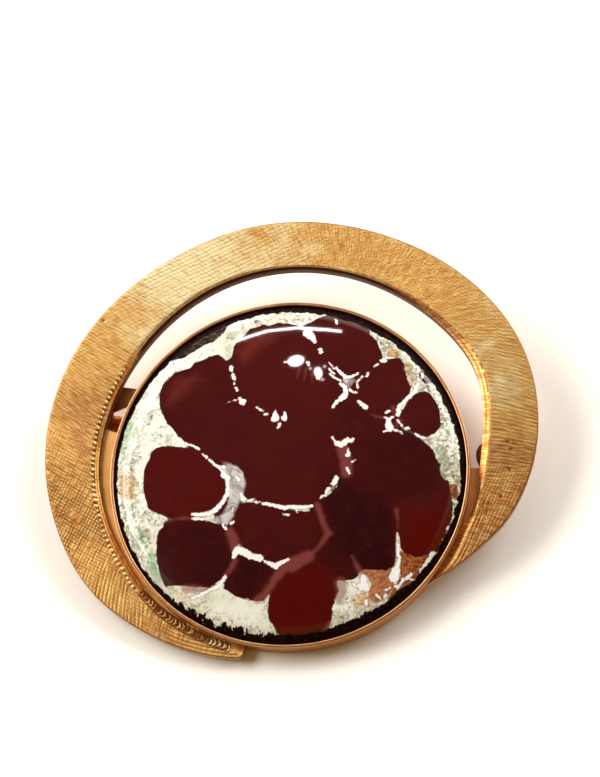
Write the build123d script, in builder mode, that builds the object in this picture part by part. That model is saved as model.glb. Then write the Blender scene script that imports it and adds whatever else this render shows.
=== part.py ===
from build123d import *
from collections import namedtuple
import math
import os

# Enamelled disc brooch with an open swirl band, lying on its back as it rests by itself.
# Millimetres. Each piece is first modelled square to the brooch: z is 0 on the back of the seat, the enamel
# looks up +Z, the middle of the disc is at x 0, y 0, and +Y points to the wide part of the gap.
# At the end the whole brooch is tipped until its pin and its lower rim stand on the floor together.

# Enamelled disc
disc_diameter = 31.75
blank_thickness = 0.9
blank_rise = 1.6
enamel_thickness = 0.65
enamel_skirt = 0.35
shoulder_width = 1.5
shoulder_drop = 0.6
piece_gap = 0.03

# Bezel round the disc and the seat under it
bezel_wall = 0.32
bezel_gap = 0.05
bezel_lip = 0.3
bezel_rounding = 0.1
seat_width = 3.4
seat_thickness = 0.6
seat_inset = 0.12

# Swirl band, and the gallery plate under it
band_reach = 8.15
band_width = 4.6
border_width = 0.8
border_drop = 0.35
band_thickness = 0.8
gallery_setback = 1.5
gap_start_angle = 0.3
gap_end_angle = 163.5

# Pin back
stem_diameter = 0.9
cloth_space = 1.4
barrel_diameter = 2.0
pin_slope = -10.0
pin_offset = 3.2
plate_thickness = 0.5
joint_reach = 17.0
joint_length = 3.4
joint_base_length = 3.4
joint_base_width = 4.2
joint_base_shift = 1.2
tab_length = 3.8
tab_root_width = 3.25
tab_tip_width = 0.8
catch_reach = 17.7
catch_length = 2.0
catch_base_diameter = 3.0
catch_base_shift = 1.4
post_width = 1.1
post_length = 1.3

# Radii and heights that follow from them
enamel_radius = disc_diameter / 2
blank_radius = enamel_radius - enamel_skirt
bezel_bore = enamel_radius + bezel_gap
bezel_radius = bezel_bore + bezel_wall
seat_bore = bezel_radius - seat_width
gallery_radius = bezel_radius - seat_inset
blank_foot = seat_thickness + piece_gap
enamel_foot = blank_foot + piece_gap
enamel_edge_height = blank_foot + blank_thickness + piece_gap + enamel_thickness - shoulder_drop
bezel_top = enamel_edge_height + bezel_lip
border_height = seat_thickness + band_thickness - border_drop
barrel_radius = barrel_diameter / 2
stem_depth = cloth_space + stem_diameter / 2

# The swirl from its tail under the disc, over the top, to its tip: how far the outline reaches past the bezel
# as a share of band_reach, how wide the engraved face is as a share of band_width, and how wide the sloped
# border inside the face is as a share of border_width
Section = namedtuple("Section", "angle reach face border")
sections = [
    Section(256, 0.145, 0.050, 1.35),
    Section(240, 0.267, 0.265, 1.25),
    Section(225, 0.393, 0.450, 1.04),
    Section(210, 0.540, 0.728, 0.88),
    Section(195, 0.635, 0.845, 0.75),
    Section(180, 0.731, 0.928, 0.64),
    Section(162, 0.832, 1.028, 0.62),
    Section(143, 0.900, 1.080, 0.42),
    Section(120, 0.945, 0.978, 0.38),
    Section(95, 1.005, 0.946, 0.31),
    Section(70, 1.000, 0.935, 0.35),
    Section(45, 0.998, 0.930, 0.68),
    Section(28, 0.952, 0.878, 0.95),
    Section(12, 0.820, 0.963, 0.78),
    Section(0, 0.680, 0.900, 0.69),
    Section(-8, 0.565, 0.789, 0.30),
    Section(-15, 0.451, 0.598, 0.56),
    Section(-22, 0.307, 0.370, 1.19),
    Section(-30, 0.166, 0.130, 1.25),
    Section(-36, 0.068, 0.030, 0.85),
    Section(-42, -0.010, 0.020, 0.15),
]


def polar(radius, angle):
    return (radius * math.cos(math.radians(angle)), radius * math.sin(math.radians(angle)))


def outline_radius(section):
    return bezel_radius + band_reach * section.reach


def face_radius(section):
    return outline_radius(section) - band_width * section.face


def border_radius(section):
    return face_radius(section) - border_width * section.border


def gallery_outline_radius(section):
    return outline_radius(section) - gallery_setback


def swirl_line(radius_of):
    """The points of one line of the swirl, from tail to tip."""
    return [polar(radius_of(section), section.angle) for section in sections]


def dome_arc(apex_height, radius):
    """Half of a domed profile, parallel to the blank's top, from its apex out to a radius."""
    curve = (blank_radius**2 + blank_rise**2) / (2 * blank_rise)

    def height(r):
        return apex_height - curve + math.sqrt(curve**2 - r**2)

    return ThreePointArc((0, height(0)), (radius / 2, height(radius / 2)), (radius, height(radius)))


# The band in plan out to the foot of its border, its engraved face, and the gap that goes right through
with BuildSketch() as band_plan:
    with BuildLine():
        outline = Spline(*swirl_line(outline_radius))
        border = Spline(*swirl_line(border_radius))
        Line(outline @ 0, border @ 0)
        Line(outline @ 1, border @ 1)
    make_face()
with BuildSketch() as engraved_face:
    with BuildLine():
        outline = Spline(*swirl_line(outline_radius))
        edge = Spline(*swirl_line(face_radius))
        Line(outline @ 0, edge @ 0)
        Line(outline @ 1, edge @ 1)
    make_face()
with BuildSketch() as gap:
    with BuildLine():
        border = Spline(*swirl_line(border_radius))
        Line(border @ 0, border @ 1)
    make_face()
    Circle(bezel_radius, mode=Mode.SUBTRACT)
    with BuildLine():
        far = 2 * (bezel_radius + band_reach)
        Polyline((0, 0), polar(far, gap_end_angle), polar(far, 270), polar(far, gap_start_angle), (0, 0))
    make_face(mode=Mode.SUBTRACT)

# Swirl band, gallery plate, seat and bezel wall, soldered into one
with BuildPart() as swirl_frame:
    # gallery plate with the seat for the disc
    with BuildSketch():
        Circle(gallery_radius)
        with BuildLine():
            gallery = Spline(*swirl_line(gallery_outline_radius))
            Line(gallery @ 0, gallery @ 1)
        make_face()
        Circle(seat_bore, mode=Mode.SUBTRACT)
        add(gap.sketch, mode=Mode.SUBTRACT)
    extrude(amount=seat_thickness)
    # band: straight walls below, and above them the border slopes up to the engraved face
    with BuildSketch(Plane.XY.offset(seat_thickness)):
        add(band_plan.sketch)
    extrude(amount=band_thickness - border_drop)
    with BuildSketch(Plane.XY.offset(border_height)):
        add(band_plan.sketch)
    with BuildSketch(Plane.XY.offset(border_height + border_drop)):
        add(engraved_face.sketch)
    loft(ruled=True)
    # room for the disc
    with BuildSketch(Plane.XY.offset(seat_thickness)):
        Circle(bezel_bore)
    extrude(amount=band_thickness, mode=Mode.SUBTRACT)
    # bezel wall
    with BuildSketch(Plane.XZ):
        with Locations((bezel_bore, seat_thickness / 2)):
            Rectangle(bezel_wall, bezel_top - seat_thickness / 2, align=(Align.MIN, Align.MIN))
        fillet(vertices().group_by(Axis.Y)[-1], radius=bezel_rounding)
    revolve(axis=Axis.Z)
swirl_frame.part.label = "swirl_frame"

# Domed metal disc that carries the enamel
with BuildPart() as copper_blank:
    with BuildSketch(Plane.XZ):
        with BuildLine():
            under = dome_arc(blank_foot + blank_rise, blank_radius)
            top = dome_arc(blank_foot + blank_rise + blank_thickness, blank_radius)
            Line(under @ 0, top @ 0)
            Line(under @ 1, top @ 1)
        make_face()
    revolve(axis=Axis.Z)
copper_blank.part.label = "copper_blank"

# Fired glass over the blank, rounded down to a thin skirt inside the bezel
with BuildPart() as enamel_dome:
    with BuildSketch(Plane.XZ):
        with BuildLine():
            glass_foot = blank_foot + blank_rise + blank_thickness + piece_gap
            inside = dome_arc(glass_foot, blank_radius + piece_gap)
            outside = dome_arc(glass_foot + enamel_thickness, enamel_radius - shoulder_width)
            shoulder = TangentArc(outside @ 1, (enamel_radius, enamel_edge_height), tangent=outside % 1)
            Polyline(shoulder @ 1, (enamel_radius, enamel_foot), (blank_radius + piece_gap, enamel_foot), inside @ 1)
            Line(inside @ 0, outside @ 0)
        make_face()
    revolve(axis=Axis.Z)
enamel_dome.part.label = "enamel_dome"

# The fastening, closed, in one plain piece: modelled with x along the stem and y towards the gap
joint_end = -joint_reach - joint_length / 2
joint_base_top = joint_base_shift + joint_base_width / 2
with BuildPart() as pin_back:
    # base behind the joint, with a tapered tab across the gap, and a round base behind the catch
    with BuildSketch(Plane.XY.offset(-piece_gap)):
        with Locations((joint_end + post_length, joint_base_shift)):
            Rectangle(joint_base_length, joint_base_width, align=(Align.MAX, Align.CENTER))
        with BuildLine():
            Polyline(
                (joint_end, joint_base_top),
                (joint_end + tab_length, joint_base_top),
                (joint_end + tab_length, joint_base_top - tab_tip_width),
                (joint_end, joint_base_top - tab_root_width),
                (joint_end, joint_base_top),
            )
        make_face()
        with Locations((catch_reach, catch_base_shift)):
            Circle(catch_base_diameter / 2)
    extrude(amount=-plate_thickness)
    # a post behind each, down to the stem
    with BuildSketch(Plane.XY.offset(-piece_gap)):
        with Locations((joint_end + post_length / 2, 0), (catch_reach, 0)):
            Rectangle(post_length, post_width)
    extrude(amount=piece_gap - stem_depth)
    # barrels of joint and catch round the stem
    for reach, length in ((-joint_reach, joint_length), (catch_reach, catch_length)):
        with BuildSketch(Plane.YZ.offset(reach - length / 2)):
            with Locations((0, -stem_depth)):
                Circle(barrel_radius)
        extrude(amount=length)
    # stem
    with BuildSketch(Plane.YZ.offset(-joint_reach)):
        with Locations((0, -stem_depth)):
            Circle(stem_diameter / 2)
    extrude(amount=joint_reach + catch_reach)
pin_back.part.label = "pin_back"

# Put the fastening in its place on the back
pin_place = Location(polar(pin_offset, pin_slope + 90) + (0,), (0, 0, pin_slope))

# Tip the brooch about the line of its pin until both barrels and the lower rim of the seat touch one plane
lever = pin_offset + gallery_radius
tilt = math.degrees(math.asin(barrel_radius / math.hypot(lever, stem_depth)) + math.atan2(stem_depth, lever))
tipped = Rotation(0, 0, pin_slope) * Rotation(tilt, 0, 0) * Rotation(0, 0, -pin_slope)
pieces = [swirl_frame, copper_blank, enamel_dome, pin_back]
for piece in pieces:
    piece.part.locate(tipped * pin_place if piece is pin_back else tipped)

# Set it on the floor, with the origin under the middle of it
box = Compound([piece.part for piece in pieces]).bounding_box()
on_floor = Location((-box.center().X, -box.center().Y, -box.min.Z))
for piece in pieces:
    piece.part.locate(on_floor * piece.part.location)

os.makedirs("parts", exist_ok=True)
export_step(swirl_frame.part, "parts/swirl_frame.step")
export_step(copper_blank.part, "parts/copper_blank.step")
export_step(enamel_dome.part, "parts/enamel_dome.step")
export_step(pin_back.part, "parts/pin_back.step")

print("tilt", round(tilt, 3), "disc centre on the seat's back", on_floor.position)
print("size", box.size)
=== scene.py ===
"""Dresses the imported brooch: engraved swirl band, bezel, gallery plate, fired enamel, copper and pin, with
floor, lights and camera.

Lengths in this file are millimetres in the brooch's own frame, square to the disc: z is 0 on the back of
the seat, the enamel looks up +Z and +Y points to the wide part of the gap. placed() takes them to the row
frame in metres, where the brooch lies tipped on its pin and its lower rim. Angles are degrees from +X
towards +Y.
"""

import math
from collections import namedtuple

import bpy
import numpy as np
from mathutils import Matrix, Vector


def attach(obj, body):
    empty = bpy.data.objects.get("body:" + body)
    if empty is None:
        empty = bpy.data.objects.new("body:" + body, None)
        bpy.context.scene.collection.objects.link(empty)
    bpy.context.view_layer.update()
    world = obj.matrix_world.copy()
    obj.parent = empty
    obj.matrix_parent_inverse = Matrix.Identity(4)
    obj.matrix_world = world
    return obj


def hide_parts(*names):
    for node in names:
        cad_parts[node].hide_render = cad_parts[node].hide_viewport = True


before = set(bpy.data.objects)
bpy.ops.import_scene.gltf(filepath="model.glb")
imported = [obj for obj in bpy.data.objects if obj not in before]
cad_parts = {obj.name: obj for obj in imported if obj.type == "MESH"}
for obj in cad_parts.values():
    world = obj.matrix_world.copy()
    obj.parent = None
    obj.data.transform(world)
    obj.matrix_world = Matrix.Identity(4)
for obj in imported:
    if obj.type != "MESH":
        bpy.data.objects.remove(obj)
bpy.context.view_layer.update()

# Sizes, as the solids have them
PIECE_GAP = 0.03
ENAMEL_RADIUS = 15.875
ENAMEL_THICKNESS = 0.65
SHOULDER_WIDTH, SHOULDER_DROP = 1.5, 0.6
BLANK_RADIUS = ENAMEL_RADIUS - 0.35
BLANK_THICKNESS, BLANK_RISE = 0.9, 1.6
SEAT_THICKNESS = 0.6
ENAMEL_FOOT = SEAT_THICKNESS + 2 * PIECE_GAP
GLASS_TOP = ENAMEL_FOOT + BLANK_THICKNESS + ENAMEL_THICKNESS
ENAMEL_EDGE = GLASS_TOP - SHOULDER_DROP
ENAMEL_APEX = GLASS_TOP + BLANK_RISE
BEZEL_BORE = ENAMEL_RADIUS + 0.05
BEZEL_RADIUS = BEZEL_BORE + 0.32
BEZEL_TOP = ENAMEL_EDGE + 0.3
BEZEL_ROUNDING = 0.1
SEAT_BORE = BEZEL_RADIUS - 3.4
GALLERY_RADIUS = BEZEL_RADIUS - 0.12
GALLERY_SETBACK = 1.5
GAP_START, GAP_END = 0.3, 163.5
BAND_REACH, BAND_WIDTH, BORDER_WIDTH = 8.15, 4.6, 0.8
FACE_HEIGHT = SEAT_THICKNESS + 0.8
BORDER_HEIGHT = FACE_HEIGHT - 0.35

# How the brooch lies: tipped about the line of its pin, with the disc's centre here
PIN_SLOPE = math.radians(-10.0)
TILT = math.radians(8.421)
DISC_CENTRE = Vector((0.009765, -3.59662, 2.36143))
TO_PIN = Matrix.Rotation(PIN_SLOPE, 3, "Z")
TIPPED = TO_PIN @ Matrix.Rotation(TILT, 3, "X") @ Matrix.Rotation(-PIN_SLOPE, 3, "Z")
MM = 0.001


def placed(points):
    """Brooch millimetres to row metres."""
    return (np.asarray(points, float) @ np.array(TIPPED).T + np.array(DISC_CENTRE)) * MM


def around(radius, angle):
    """x and y of a radius and an angle."""
    return radius * np.cos(np.radians(angle)), radius * np.sin(np.radians(angle))


def table(name, columns, *rows):
    """Rows with named columns."""
    kind = namedtuple(name, columns)
    return [kind(*row) for row in rows]


def column(rows, name):
    return np.array([getattr(row, name) for row in rows], float)


def smooth(x, low, high):
    """0 at low, 1 at high, and an even curve between."""
    t = np.clip((np.asarray(x, float) - low) / (high - low), 0, 1)
    return t * t * (3 - 2 * t)


def over(angle, stretch):
    """1 over a stretch of the band, which starts between two angles and ends between two others, else 0."""
    return smooth(angle, *stretch[:2]) * (1 - smooth(angle, *stretch[2:]))


def ridge(distance, width, height=1.0):
    """height at 0, held to 1, falling evenly to 0 at about width to either side."""
    return np.clip(height - np.abs(distance) / width, 0, 1)


def bulge(squared):
    """The height of a half circle of radius 1, by the square of the place across it."""
    return np.sqrt(np.clip(1 - squared, 0, 1))


def natural_spline(xs, ys):
    """A natural cubic spline through the points, as a function. xs go up."""
    n = len(xs)
    h = np.diff(xs)
    a = np.zeros((n, n))
    b = np.zeros(n)
    a[0, 0] = a[-1, -1] = 1
    for i in range(1, n - 1):
        a[i, i - 1], a[i, i], a[i, i + 1] = h[i - 1], 2 * (h[i - 1] + h[i]), h[i]
        b[i] = 6 * ((ys[i + 1] - ys[i]) / h[i] - (ys[i] - ys[i - 1]) / h[i - 1])
    m = np.linalg.solve(a, b)

    def value(x):
        x = np.asarray(x, float)
        i = np.clip(np.searchsorted(xs, x) - 1, 0, n - 2)
        u, v = x - xs[i], xs[i + 1] - x
        return (
            (m[i] * v**3 + m[i + 1] * u**3) / (6 * h[i])
            + (ys[i] / h[i] - m[i] * h[i] / 6) * v
            + (ys[i + 1] / h[i] - m[i + 1] * h[i] / 6) * u
        )

    return value


def rough_line(count, step, seed):
    """A random number from -1 to 1 for each of count places: one drawn every step places, smooth between."""
    knots = np.random.default_rng(seed).uniform(-1, 1, int(count / step) + 4)
    at = np.arange(count) / step
    i = at.astype(int)
    t = smooth(at - i, 0, 1)
    return knots[i] * (1 - t) + knots[i + 1] * t


def tube_faces(rows, columns, closed=False):
    """The faces of a grid whose columns close round, and whose rows do too if it is closed."""
    i, j = np.meshgrid(np.arange(rows if closed else rows - 1), np.arange(columns), indexing="ij")
    row, next_row, next_column = i * columns, (i + 1) % rows * columns, (j + 1) % columns
    corners = [next_row + j, next_row + next_column, row + next_column, row + j]
    return np.stack(corners, -1).reshape(-1, 4).tolist()


def in_scene(name, data):
    """A new object that shows in the scene."""
    made = bpy.data.objects.new(name, data)
    bpy.context.scene.collection.objects.link(made)
    return made


def mesh_piece(name, verts, faces, node, material, attributes=(), smooth_angle=None):
    """A piece of the brooch, from brooch millimetres, that rides on the brooch and stands for a CAD node."""
    mesh = bpy.data.meshes.new(name)
    mesh.from_pydata(placed(verts).tolist(), [], faces)
    mesh.update()
    mesh.shade_smooth()
    for key, values in dict(attributes).items():
        data = mesh.attributes.new(key, "FLOAT", "POINT").data
        data.foreach_set("value", np.asarray(values, np.float32).ravel())
    piece = in_scene(name, mesh)
    mesh.materials.append(material)
    if smooth_angle:
        mesh.set_sharp_from_angle(angle=math.radians(smooth_angle))
    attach(piece, "root")
    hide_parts(node)


class Nodes:
    """A node tree and short ways to add and join its nodes."""

    def __init__(self, tree):
        self.tree = tree

    def node(self, kind, *inputs, **settings):
        """A node with its settings, and values or other nodes' outputs in its inputs in order."""
        made = self.tree.nodes.new(kind)
        for key, value in settings.items():
            setattr(made, key, value)
        for socket, value in zip(made.inputs, inputs):
            self.join(value, socket)
        return made

    def join(self, value, socket):
        if isinstance(value, bpy.types.NodeSocket):
            self.tree.links.new(value, socket)
        else:
            socket.default_value = value

    def attribute(self, name):
        return self.node("ShaderNodeAttribute", attribute_name=name).outputs["Fac"]

    def math(self, operation, a, b=0.0, c=0.0, clamp=False):
        return self.node("ShaderNodeMath", a, b, c, operation=operation, use_clamp=clamp).outputs[0]

    def times(self, a, *others):
        for b in others:
            a = self.math("MULTIPLY", a, b)
        return a

    def plus(self, base, value, share):
        """base and a share of value."""
        return self.math("MULTIPLY_ADD", value, share, base)

    def less(self, a, b):
        return self.math("SUBTRACT", a, b)

    def place(self, *scale):
        """Object coordinates in millimetres, each times its scale."""
        metres = self.node("ShaderNodeTexCoord").outputs["Object"]
        scale = [s / MM for s in scale or (1, 1, 1)]
        return self.node("ShaderNodeVectorMath", metres, scale, operation="MULTIPLY").outputs[0]

    def along(self, x, y):
        return self.node("ShaderNodeCombineXYZ", x, y, 0.0).outputs[0]

    def parts(self, vector):
        return self.node("ShaderNodeSeparateXYZ", vector).outputs

    def noise(self, vector, scale, detail=2.0, roughness=0.5, distortion=0.0):
        made = self.node("ShaderNodeTexNoise", vector)
        values = {"Scale": scale, "Detail": detail, "Roughness": roughness, "Distortion": distortion}
        for name, value in values.items():
            made.inputs[name].default_value = value
        return made.outputs["Fac"]

    def step(self, value, low, high, to_low=0.0, to_high=1.0):
        """From to_low to to_high as value goes from low to high."""
        values = (value, low, high, to_low, to_high)
        return self.node("ShaderNodeMapRange", *values, interpolation_type="SMOOTHSTEP").outputs[0]

    def mix(self, factor, a, b):
        made = self.node("ShaderNodeMix", data_type="RGBA")
        sockets = [s for s in made.inputs if s.type == "RGBA"]
        self.join(factor, made.inputs["Factor"])
        self.join(a, sockets[0])
        self.join(b, sockets[1])
        return next(s for s in made.outputs if s.type == "RGBA")

    def paint(self, under, *layers):
        """Layers over what is under them, each a mask, a colour and the share of it that shows."""
        for mask, colour, share in layers:
            under = self.mix(mask if share == 1 else self.times(mask, share), under, colour)
        return under

    def bump(self, height, distance, strength):
        """height in units of distance, which is in millimetres."""
        made = self.node("ShaderNodeBump")
        values = {"Strength": strength, "Distance": distance * MM, "Height": height}
        for name, value in values.items():
            self.join(value, made.inputs[name])
        return made.outputs["Normal"]


class Shader(Nodes):
    """A material."""

    def __init__(self, name):
        self.material = bpy.data.materials.new(name)
        self.material.use_nodes = True
        super().__init__(self.material.node_tree)

    def set(self, **values):
        surface = next(n for n in self.tree.nodes if n.type == "BSDF_PRINCIPLED")
        for key, value in values.items():
            self.join(value, surface.inputs[key.replace("_", " ")])
        return self.material


def rgb(r, g, b):
    """A colour from its values out of 255."""
    return (*[((c / 255 + 0.055) / 1.055) ** 2.4 if c > 10 else c / 255 / 12.92 for c in (r, g, b)], 1.0)


# The swirl from its tip at the lower right, over the top, to its tail under the disc: the outline's reach
# past the bezel, the width of the engraved face and the width of the sloped border inside it, as shares of
# BAND_REACH, BAND_WIDTH and BORDER_WIDTH
sections = table(
    "Section",
    "angle reach face border",
    (-42, -0.010, 0.020, 0.15),
    (-36, 0.068, 0.030, 0.85),
    (-30, 0.166, 0.130, 1.25),
    (-22, 0.307, 0.370, 1.19),
    (-15, 0.451, 0.598, 0.56),
    (-8, 0.565, 0.789, 0.30),
    (0, 0.680, 0.900, 0.69),
    (12, 0.820, 0.963, 0.78),
    (28, 0.952, 0.878, 0.95),
    (45, 0.998, 0.930, 0.68),
    (70, 1.000, 0.935, 0.35),
    (95, 1.005, 0.946, 0.31),
    (120, 0.945, 0.978, 0.38),
    (143, 0.900, 1.080, 0.42),
    (162, 0.832, 1.028, 0.62),
    (180, 0.731, 0.928, 0.64),
    (195, 0.635, 0.845, 0.75),
    (210, 0.540, 0.728, 0.88),
    (225, 0.393, 0.450, 1.04),
    (240, 0.267, 0.265, 1.25),
    (256, 0.145, 0.050, 1.35),
)
section_angles = column(sections, "angle")
TIP_ANGLE, TAIL_ANGLE = section_angles[0], section_angles[-1]
outline_radii = BEZEL_RADIUS + BAND_REACH * column(sections, "reach")
face_edges = outline_radii - BAND_WIDTH * column(sections, "face")
border_feet = face_edges - BORDER_WIDTH * column(sections, "border")
outline_spline, face_spline, border_spline = (
    natural_spline(section_angles, radii) for radii in (outline_radii, face_edges, border_feet)
)

# Engraving. slant: how far a cut line turns from the radius; cut: depth of the lines; down, steep and
# shallow: strength of straight sets of lines across them; matt: strength of the brushing and stippling;
# and the last column, painted light and shade: from -1, copper-coloured and dark, to 1, pale
engraving = table(
    "Engraving",
    "angle slant cut down steep shallow matt tone",
    (-42, 0, 0, 0, 0, 0, 0.2, -0.5),
    (-24, 0, 0.09, 0, 0.3, 0, 0.3, -0.9),
    (-10, -2, 0.29, 0, 0.35, 0, 0.4, -1),
    (-3, -6, 0.39, 0, 0.25, 0, 0.4, -0.9),
    (3, -14, 0.64, 0, 0.1, 0, 0.4, -0.7),
    (10, -26, 0.68, 0, 0, 0.1, 0.3, -0.25),
    (18, -36, 0.64, 0.1, 0, 0.1, 0.3, 0.25),
    (28, -43, 0.51, 0.2, 0, 0.1, 0.4, 0.3),
    (40, -36, 0.16, 0.3, 0, 0.1, 0.7, 0.1),
    (56, -12, 0.05, 0.3, 0, 0.1, 1, -0.05),
    (75, 10, 0.04, 0.2, 0, 0.2, 0.8, 0),
    (95, 27, 0.15, 0.1, 0, 0.3, 0.5, 0.4),
    (106, 32, 0.42, 0, 0, 0.4, 0.4, 0.8),
    (117, 31, 0.68, 0, 0, 0.3, 0.3, 1),
    (139, 9, 0.85, 0, 0, 0.15, 0.2, 0.1),
    (160, -17, 0.77, 0, 0, 0.1, 0.2, -0.6),
    (170, -22, 0.38, 0.5, 0.3, 0, 0.2, -0.6),
    (178, -24, 0, 0.8, 0.7, 0, 0.3, -0.45),
    (186, 10, 0, 0.9, 1, 0, 0.3, -0.4),
    (196, 44, 0, 0.9, 1, 0, 0.3, -0.3),
    (202, 47, 0.42, 0.7, 0.5, 0, 0.2, -0.3),
    (212, 47, 0.77, 0.5, 0, 0, 0.2, -0.35),
    (222, 45, 0.68, 0.6, 0, 0.1, 0.2, -0.45),
    (232, 25, 0.34, 0.5, 0.2, 0.1, 0.3, -0.6),
    (245, 0, 0.13, 0, 0, 0, 0.5, 0),
    (256, 0, 0, 0, 0, 0, 0.5, 0.1),
)
LINE_PITCH, ROWS_PER_LINE = 0.31, 6
ROW_PITCH = LINE_PITCH / ROWS_PER_LINE
CUT_DEPTH, NICK_DEPTH = 0.04, 0.03
# Long cut lines, by their distance from the outline near the tail and from the face's inner edge near the tip
LongLine = namedtuple("LongLine", "distance width")
TAIL_LINES = [LongLine(0.32, 0.07), LongLine(0.68, 0.09), LongLine(1.02, 0.07), LongLine(1.36, 0.08)]
TIP_LINES = [LongLine(0.22, 0.08), LongLine(0.52, 0.08), LongLine(0.95, 0.07)]

# Section of the band
BORDER_COLUMNS, FACE_COLUMNS = 10, 24
EDGE_ROUNDING = 0.07
EDGE_DROP = 0.08
WALL_HEIGHT = FACE_HEIGHT - EDGE_DROP
MIN_RADIUS = 16.1
MIN_WIDTH, MIN_BORDER, MIN_FACE = 0.12, 0.04, 0.05
TAIL_ROUNDING, TAIL_DRAW = 1.6, 0.5

# Border of the band. A stretch is where it starts, where it is full, where it fades and where it ends
BEADED, ROPED = (141, 150, 216, 219), (216, 220, 250, 254)
BEAD_PITCH, BEAD_LENGTH, BEAD_WIDTH, BEAD_HEIGHT = 0.5, 0.17, 0.13, 0.11
TROUGH_DEPTH, TROUGH_WIDTH = 0.07, 0.22
ROPE_PITCH, ROPE_HEIGHT, ROPE_DEPTH = 0.42, 0.15, 0.10
STRANDS = 400
FOOT_LINED, FOOT_LINE_DEPTH = (158, 164, 216, 219), 0.04
PLAIN_END = (138, 146)
RAIL_DEPTH = 0.02
# Stretches, in turn: painted shade on the border at the right, dark specks, and painted shade on the border's
# foot over the top
SHADED_RIGHT, SPECKED, SHADED_FOOT = (2, 14, 46, 58), (14, 20, 52, 60), (44, 66, 136, 142)
SPECK_ROWS = 5

# Small pits in the face, by x and y
PITS = [(19.9, 1.5), (19.7, -0.4), (18.9, -2.9), (19.6, 2.2), (-17.3, 15.5)]
PIT_RADIUS, PIT_DEPTH = 0.2, 0.05


def engraved(field, angle):
    """A smooth value at any angle, from the engraving table."""
    xs, ys = column(engraving, "angle"), column(engraving, field)
    i = np.clip(np.searchsorted(xs, angle) - 1, 0, len(xs) - 2)
    t = smooth((angle - xs[i]) / (xs[i + 1] - xs[i]), 0, 1)
    return ys[i] * (1 - t) + ys[i + 1] * t


def band_radii(angle):
    """The band's outline, the foot of its border and the inner edge of its face."""
    at = np.clip((angle - TAIL_ANGLE + TAIL_ROUNDING) / TAIL_ROUNDING, 0, 1)
    outer = outline_spline(angle) - TAIL_DRAW * (1 - bulge(at**2))
    foot = np.clip(border_spline(angle), MIN_RADIUS, outer - MIN_WIDTH)
    return outer, foot, np.clip(face_spline(angle), foot + MIN_BORDER, outer - MIN_FACE)


def middle_radius(angle):
    return (outline_spline(angle) + np.maximum(face_spline(angle), MIN_RADIUS)) / 2


def band_rows():
    """Angles of the rows at mid width. Rows follow the cut lines and stand evenly apart across them."""
    rows, angle = [], float(TIP_ANGLE)
    while angle < TAIL_ANGLE:
        rows.append(angle)
        lean = math.radians(engraved("slant", angle))
        angle += math.degrees(ROW_PITCH / (float(middle_radius(angle)) * math.cos(lean)))
    return np.array(rows + [TAIL_ANGLE])


# A point of the section: the part that it is in, the two radii that it lies between, how far, and its height
Column = namedtuple("Column", "part start end share height")


def band_columns():
    """The section, from inside the foot of the border, up and over the face, to the back."""
    points = []

    def add(part, start, end, share, low, high=0.0, up=0.0):
        points.append(Column(part, start, end, share, low + (high - low) * up))

    for up in (0, 0.5):
        add("wall", "foot", "foot", 0, SEAT_THICKNESS, BORDER_HEIGHT, up)
    for share in np.linspace(0, 1, BORDER_COLUMNS + 1):
        add("border" if share < 1 else "face", "foot", "inner", share, BORDER_HEIGHT, FACE_HEIGHT, share)
    for share in np.linspace(0, 1, FACE_COLUMNS + 1)[1:]:
        add("face", "inner", "top", share, FACE_HEIGHT)
    add("edge", "outer", "top", 0.3, FACE_HEIGHT - EDGE_DROP / 4)
    add("edge", "outer", "top", 0, WALL_HEIGHT)
    for up in (0.5, 1):
        add("side", "outer", "top", 0, WALL_HEIGHT, SEAT_THICKNESS, up)
    add("under", "foot", "outer", 0.6, SEAT_THICKNESS)
    return points


FACE_EDGE_COLUMN = 2 + BORDER_COLUMNS


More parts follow.
